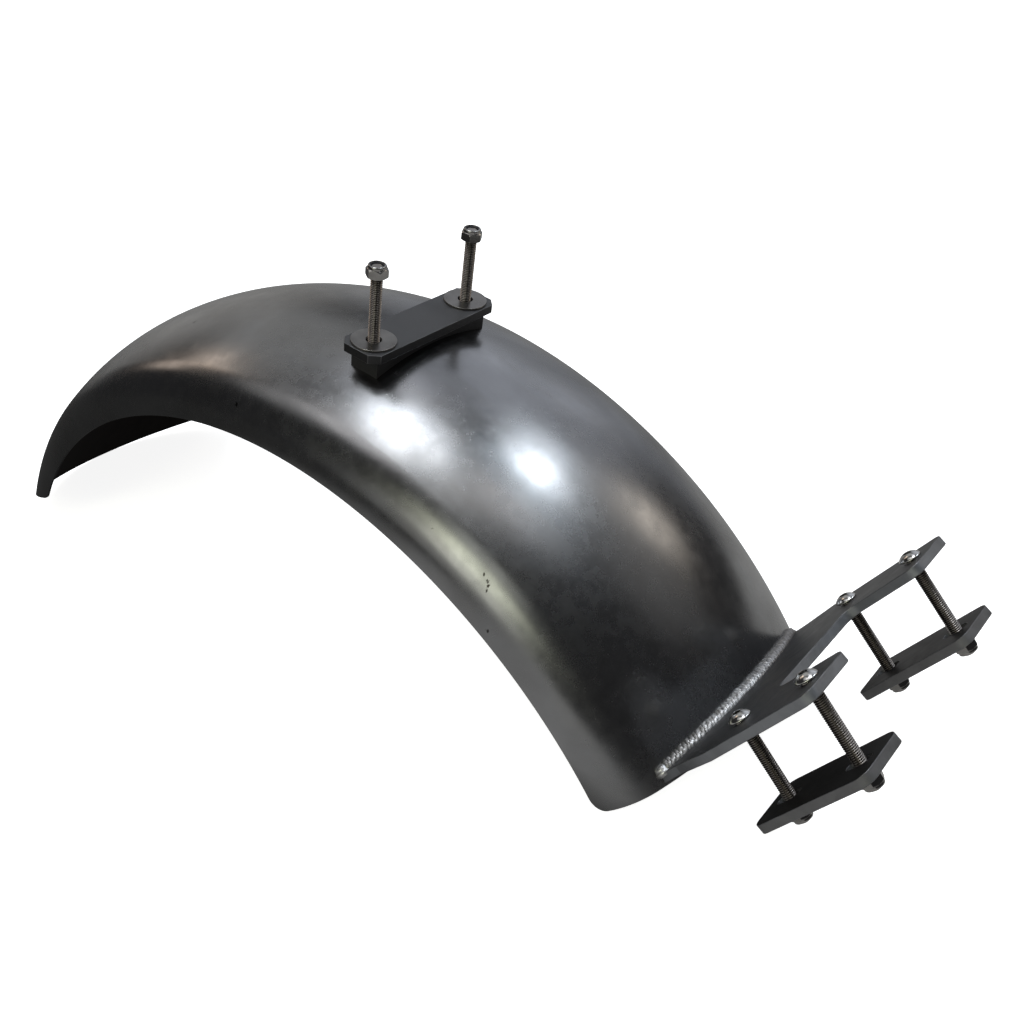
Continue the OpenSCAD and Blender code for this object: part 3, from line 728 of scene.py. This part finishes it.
# The thread's grooves are darkened as painted shade
thread_steel = steel_material("thread_steel", (0.38, 0.35, 0.325), (0.46, 0.43, 0.40), 0.24, 0.32,
                              groove=(0.05, 0.042, 0.036))
washer_steel = steel_material("satin_washer_steel", (0.22, 0.21, 0.195), (0.28, 0.268, 0.252), 0.26, 0.34)
nut_steel = steel_material("dark_stainless", (0.24, 0.232, 0.222), (0.33, 0.322, 0.31), 0.12, 0.2)
for obj in nuts:
    dress(obj, nut_steel)
for obj in bolts:
    dress(obj, bright_steel, thread_steel)
    origin = np.array(obj["seat"])
    axis = np.array(obj["axis"])
    for poly in obj.data.polygons:
        poly.material_index = 1 if (np.array(poly.center) - origin) @ axis > 0.00045 else 0
for obj in washers:
    dress(obj, washer_steel)
weld_steel = weld_material()
for obj in welds:
    dress(obj, weld_steel)
dress(pad, rubber_material())
nylon = nylon_material()
for obj in lock_rings:
    dress(obj, nylon)


# Floor, light and camera

def floor_material():
    n = Nodes("pale_floor")
    n.shader.inputs["Base Color"].default_value = (0.9, 0.9, 0.9, 1)
    n.shader.inputs["Roughness"].default_value = 1.0
    n.shader.inputs["Specular IOR Level"].default_value = 0.0
    glow = n.add("ShaderNodeEmission")
    glow.inputs["Color"].default_value = (1, 1, 1, 1)
    glow.inputs["Strength"].default_value = 0.9
    # For all but camera rays the floor is a glow, brighter towards +X and +Y: a painted reflection for the
    # steel to mirror
    dark = n.add("ShaderNodeEmission")
    dark.inputs["Color"].default_value = (1.0, 1.0, 0.985, 1)
    split = n.add("ShaderNodeSeparateXYZ")
    n.join(n.add("ShaderNodeTexCoord").outputs["Object"], split.inputs[0])
    near = n.spread(split.outputs["X"], -0.4, 0.1, 0.05, 0.44, True)
    far = n.spread(split.outputs["Y"], 0.05, 0.5, 0.05, 0.30, True)
    # Painted shadow: the glow is held low beneath the fender
    across = n.spread(n.maths("ABSOLUTE", split.outputs["Y"]), 0.08, 0.15, 0.06, 1.0, True)
    along_part = n.spread(n.maths("ABSOLUTE", split.outputs["X"]), 0.28, 0.4, 0.06, 1.0, True)
    beyond_painted_shadow = n.maths("MAXIMUM", across, along_part)
    n.join(n.maths("MULTIPLY", n.maths("MAXIMUM", near, far), beyond_painted_shadow), dark.inputs["Strength"])
    seen = n.add("ShaderNodeAddShader")
    n.join(n.shader.outputs["BSDF"], seen.inputs[0])
    n.join(glow.outputs[0], seen.inputs[1])
    path = n.add("ShaderNodeLightPath")
    pick = n.add("ShaderNodeMixShader")
    n.join(path.outputs["Is Camera Ray"], pick.inputs[0])
    n.join(dark.outputs[0], pick.inputs[1])
    n.join(seen.outputs[0], pick.inputs[2])
    n.join(pick.outputs[0], n.out.inputs["Surface"])
    return n.material


FLOOR_HALF = 12.0
floor = add_mesh("pale_floor", [(-FLOOR_HALF, -FLOOR_HALF, 0), (FLOOR_HALF, -FLOOR_HALF, 0),
                                (FLOOR_HALF, FLOOR_HALF, 0), (-FLOOR_HALF, FLOOR_HALF, 0)], [(0, 1, 2, 3)])
floor.location.z = cad_low.z - 0.0005
dress(floor, floor_material())


def towards(azimuth, elevation):
    a, e = math.radians(azimuth), math.radians(elevation)
    return (math.cos(e) * math.cos(a), math.cos(e) * math.sin(a), math.sin(e))


# Soft lights that the steel mirrors, in degrees: azimuth from +X, elevation, half width and softness,
# then the light's colour and strength
LOBES = [
    (173, 82, 7.0, 5.0, (0.90, 0.95, 1.0), 9.5),
    (60, 61, 3.4, 4.5, (0.86, 0.93, 1.0), 12.0),
    (47, 67, 4.0, 6.0, (0.74, 0.88, 1.0), 2.2),
    (75, 53, 4.0, 5.0, (0.84, 0.92, 1.0), 2.6),
    (16, 64, 4.5, 6.0, (0.90, 0.96, 1.02), 1.3),
    (-12, 73, 5.0, 7.0, (0.98, 0.99, 1.0), 0.5),
    (15, 73, 3.0, 5.0, (1.0, 0.93, 0.88), 1.7),
    (138, 66, 7.0, 7.0, (0.94, 0.96, 1.04), 1.1),
    (-139, 65, 7.0, 8.0, (1.0, 0.98, 0.99), 1.5),
    (-152, 50, 7.0, 8.0, (1.0, 0.99, 0.98), 0.65),
    (-90, 80, 7.0, 10.0, (1.0, 1.0, 0.98), 0.8),
    (178, 33, 3.2, 5.0, (1.0, 0.80, 0.64), 1.9),
    (-179, 22, 3.2, 5.0, (1.0, 0.82, 0.68), 1.2),
    (64, 29, 3.5, 6.0, (1.0, 0.90, 0.78), 2.2),
    (62, 41, 5.0, 6.0, (1.0, 0.96, 0.90), 0.45),
    (-90, 20, 7.0, 8.0, (0.97, 0.98, 0.84), 1.8),
    (-79, 34, 7.5, 8.0, (0.95, 0.98, 0.78), 2.9),
    (-62, 50, 5.0, 9.0, (0.98, 1.0, 0.92), 1.1),
    (-100, 4, 12.0, 12.0, (1.0, 1.0, 0.95), 0.42),
    (100, 40, 14.0, 16.0, (0.90, 0.95, 1.06), 0.66),
    (110, 8, 18.0, 14.0, (0.92, 0.96, 1.04), 0.38),
    (150, 8, 13.0, 11.0, (1.0, 0.98, 0.94), 0.37),
    (158, 42, 12.0, 11.0, (0.98, 0.99, 0.98), 0.5),
    (45, 38, 10.0, 14.0, (1.0, 0.98, 0.95), 0.24),
]
AMBIENT = (0.035, 0.035, 0.037)

world = bpy.data.worlds.new("studio")
bpy.context.scene.world = world
world.use_nodes = True
tree = world.node_tree
tree.nodes.clear()
direction = tree.nodes.new("ShaderNodeTexCoord").outputs["Generated"]
base = tree.nodes.new("ShaderNodeRGB")
base.outputs[0].default_value = (*AMBIENT, 1)
total = base.outputs[0]
for azimuth, elevation, half, soft, colour, strength in LOBES:
    dot = tree.nodes.new("ShaderNodeVectorMath")
    dot.operation = "DOT_PRODUCT"
    tree.links.new(direction, dot.inputs[0])
    dot.inputs[1].default_value = towards(azimuth, elevation)
    fall = tree.nodes.new("ShaderNodeMapRange")
    fall.interpolation_type = "SMOOTHSTEP"
    tree.links.new(dot.outputs["Value"], fall.inputs[0])
    fall.inputs[1].default_value = math.cos(math.radians(half + soft))
    fall.inputs[2].default_value = math.cos(math.radians(max(half - soft / 2, 0.1)))
    fall.inputs[3].default_value = 0.0
    fall.inputs[4].default_value = strength
    scaled = tree.nodes.new("ShaderNodeVectorMath")
    scaled.operation = "SCALE"
    scaled.inputs[0].default_value = colour
    tree.links.new(fall.outputs[0], scaled.inputs["Scale"])
    added = tree.nodes.new("ShaderNodeVectorMath")
    added.operation = "ADD"
    tree.links.new(total, added.inputs[0])
    tree.links.new(scaled.outputs[0], added.inputs[1])
    total = added.outputs[0]

sky = tree.nodes.new("ShaderNodeBackground")
tree.links.new(total, sky.inputs["Color"])
white = tree.nodes.new("ShaderNodeBackground")
white.inputs["Color"].default_value = (1, 1, 1, 1)
white.inputs["Strength"].default_value = 1.0
choose = tree.nodes.new("ShaderNodeMixShader")
tree.links.new(tree.nodes.new("ShaderNodeLightPath").outputs["Is Camera Ray"], choose.inputs[0])
tree.links.new(sky.outputs[0], choose.inputs[1])
tree.links.new(white.outputs[0], choose.inputs[2])
tree.links.new(choose.outputs[0], tree.nodes.new("ShaderNodeOutputWorld").inputs["Surface"])

camera = bpy.data.objects.new("camera", bpy.data.cameras.new("camera"))
bpy.context.scene.collection.objects.link(camera)
bpy.context.scene.camera = camera
camera.data.lens, camera.data.sensor_width = 39.0, 36.0
camera.data.clip_start, camera.data.clip_end = 0.01, 100
right, down = Vector((0.78246, 0.62141, -0.04008)), Vector((0.28638, -0.41626, -0.86297))
forward = Vector((-0.55294, 0.66376, -0.50367))
camera.matrix_world = Matrix.Translation((0.53330, -0.50694, 0.48800)) @ Matrix(
    (right.normalized(), (-down).normalized(), (-forward).normalized())).transposed().to_4x4()

bpy.context.scene.view_settings.view_transform = "Standard"
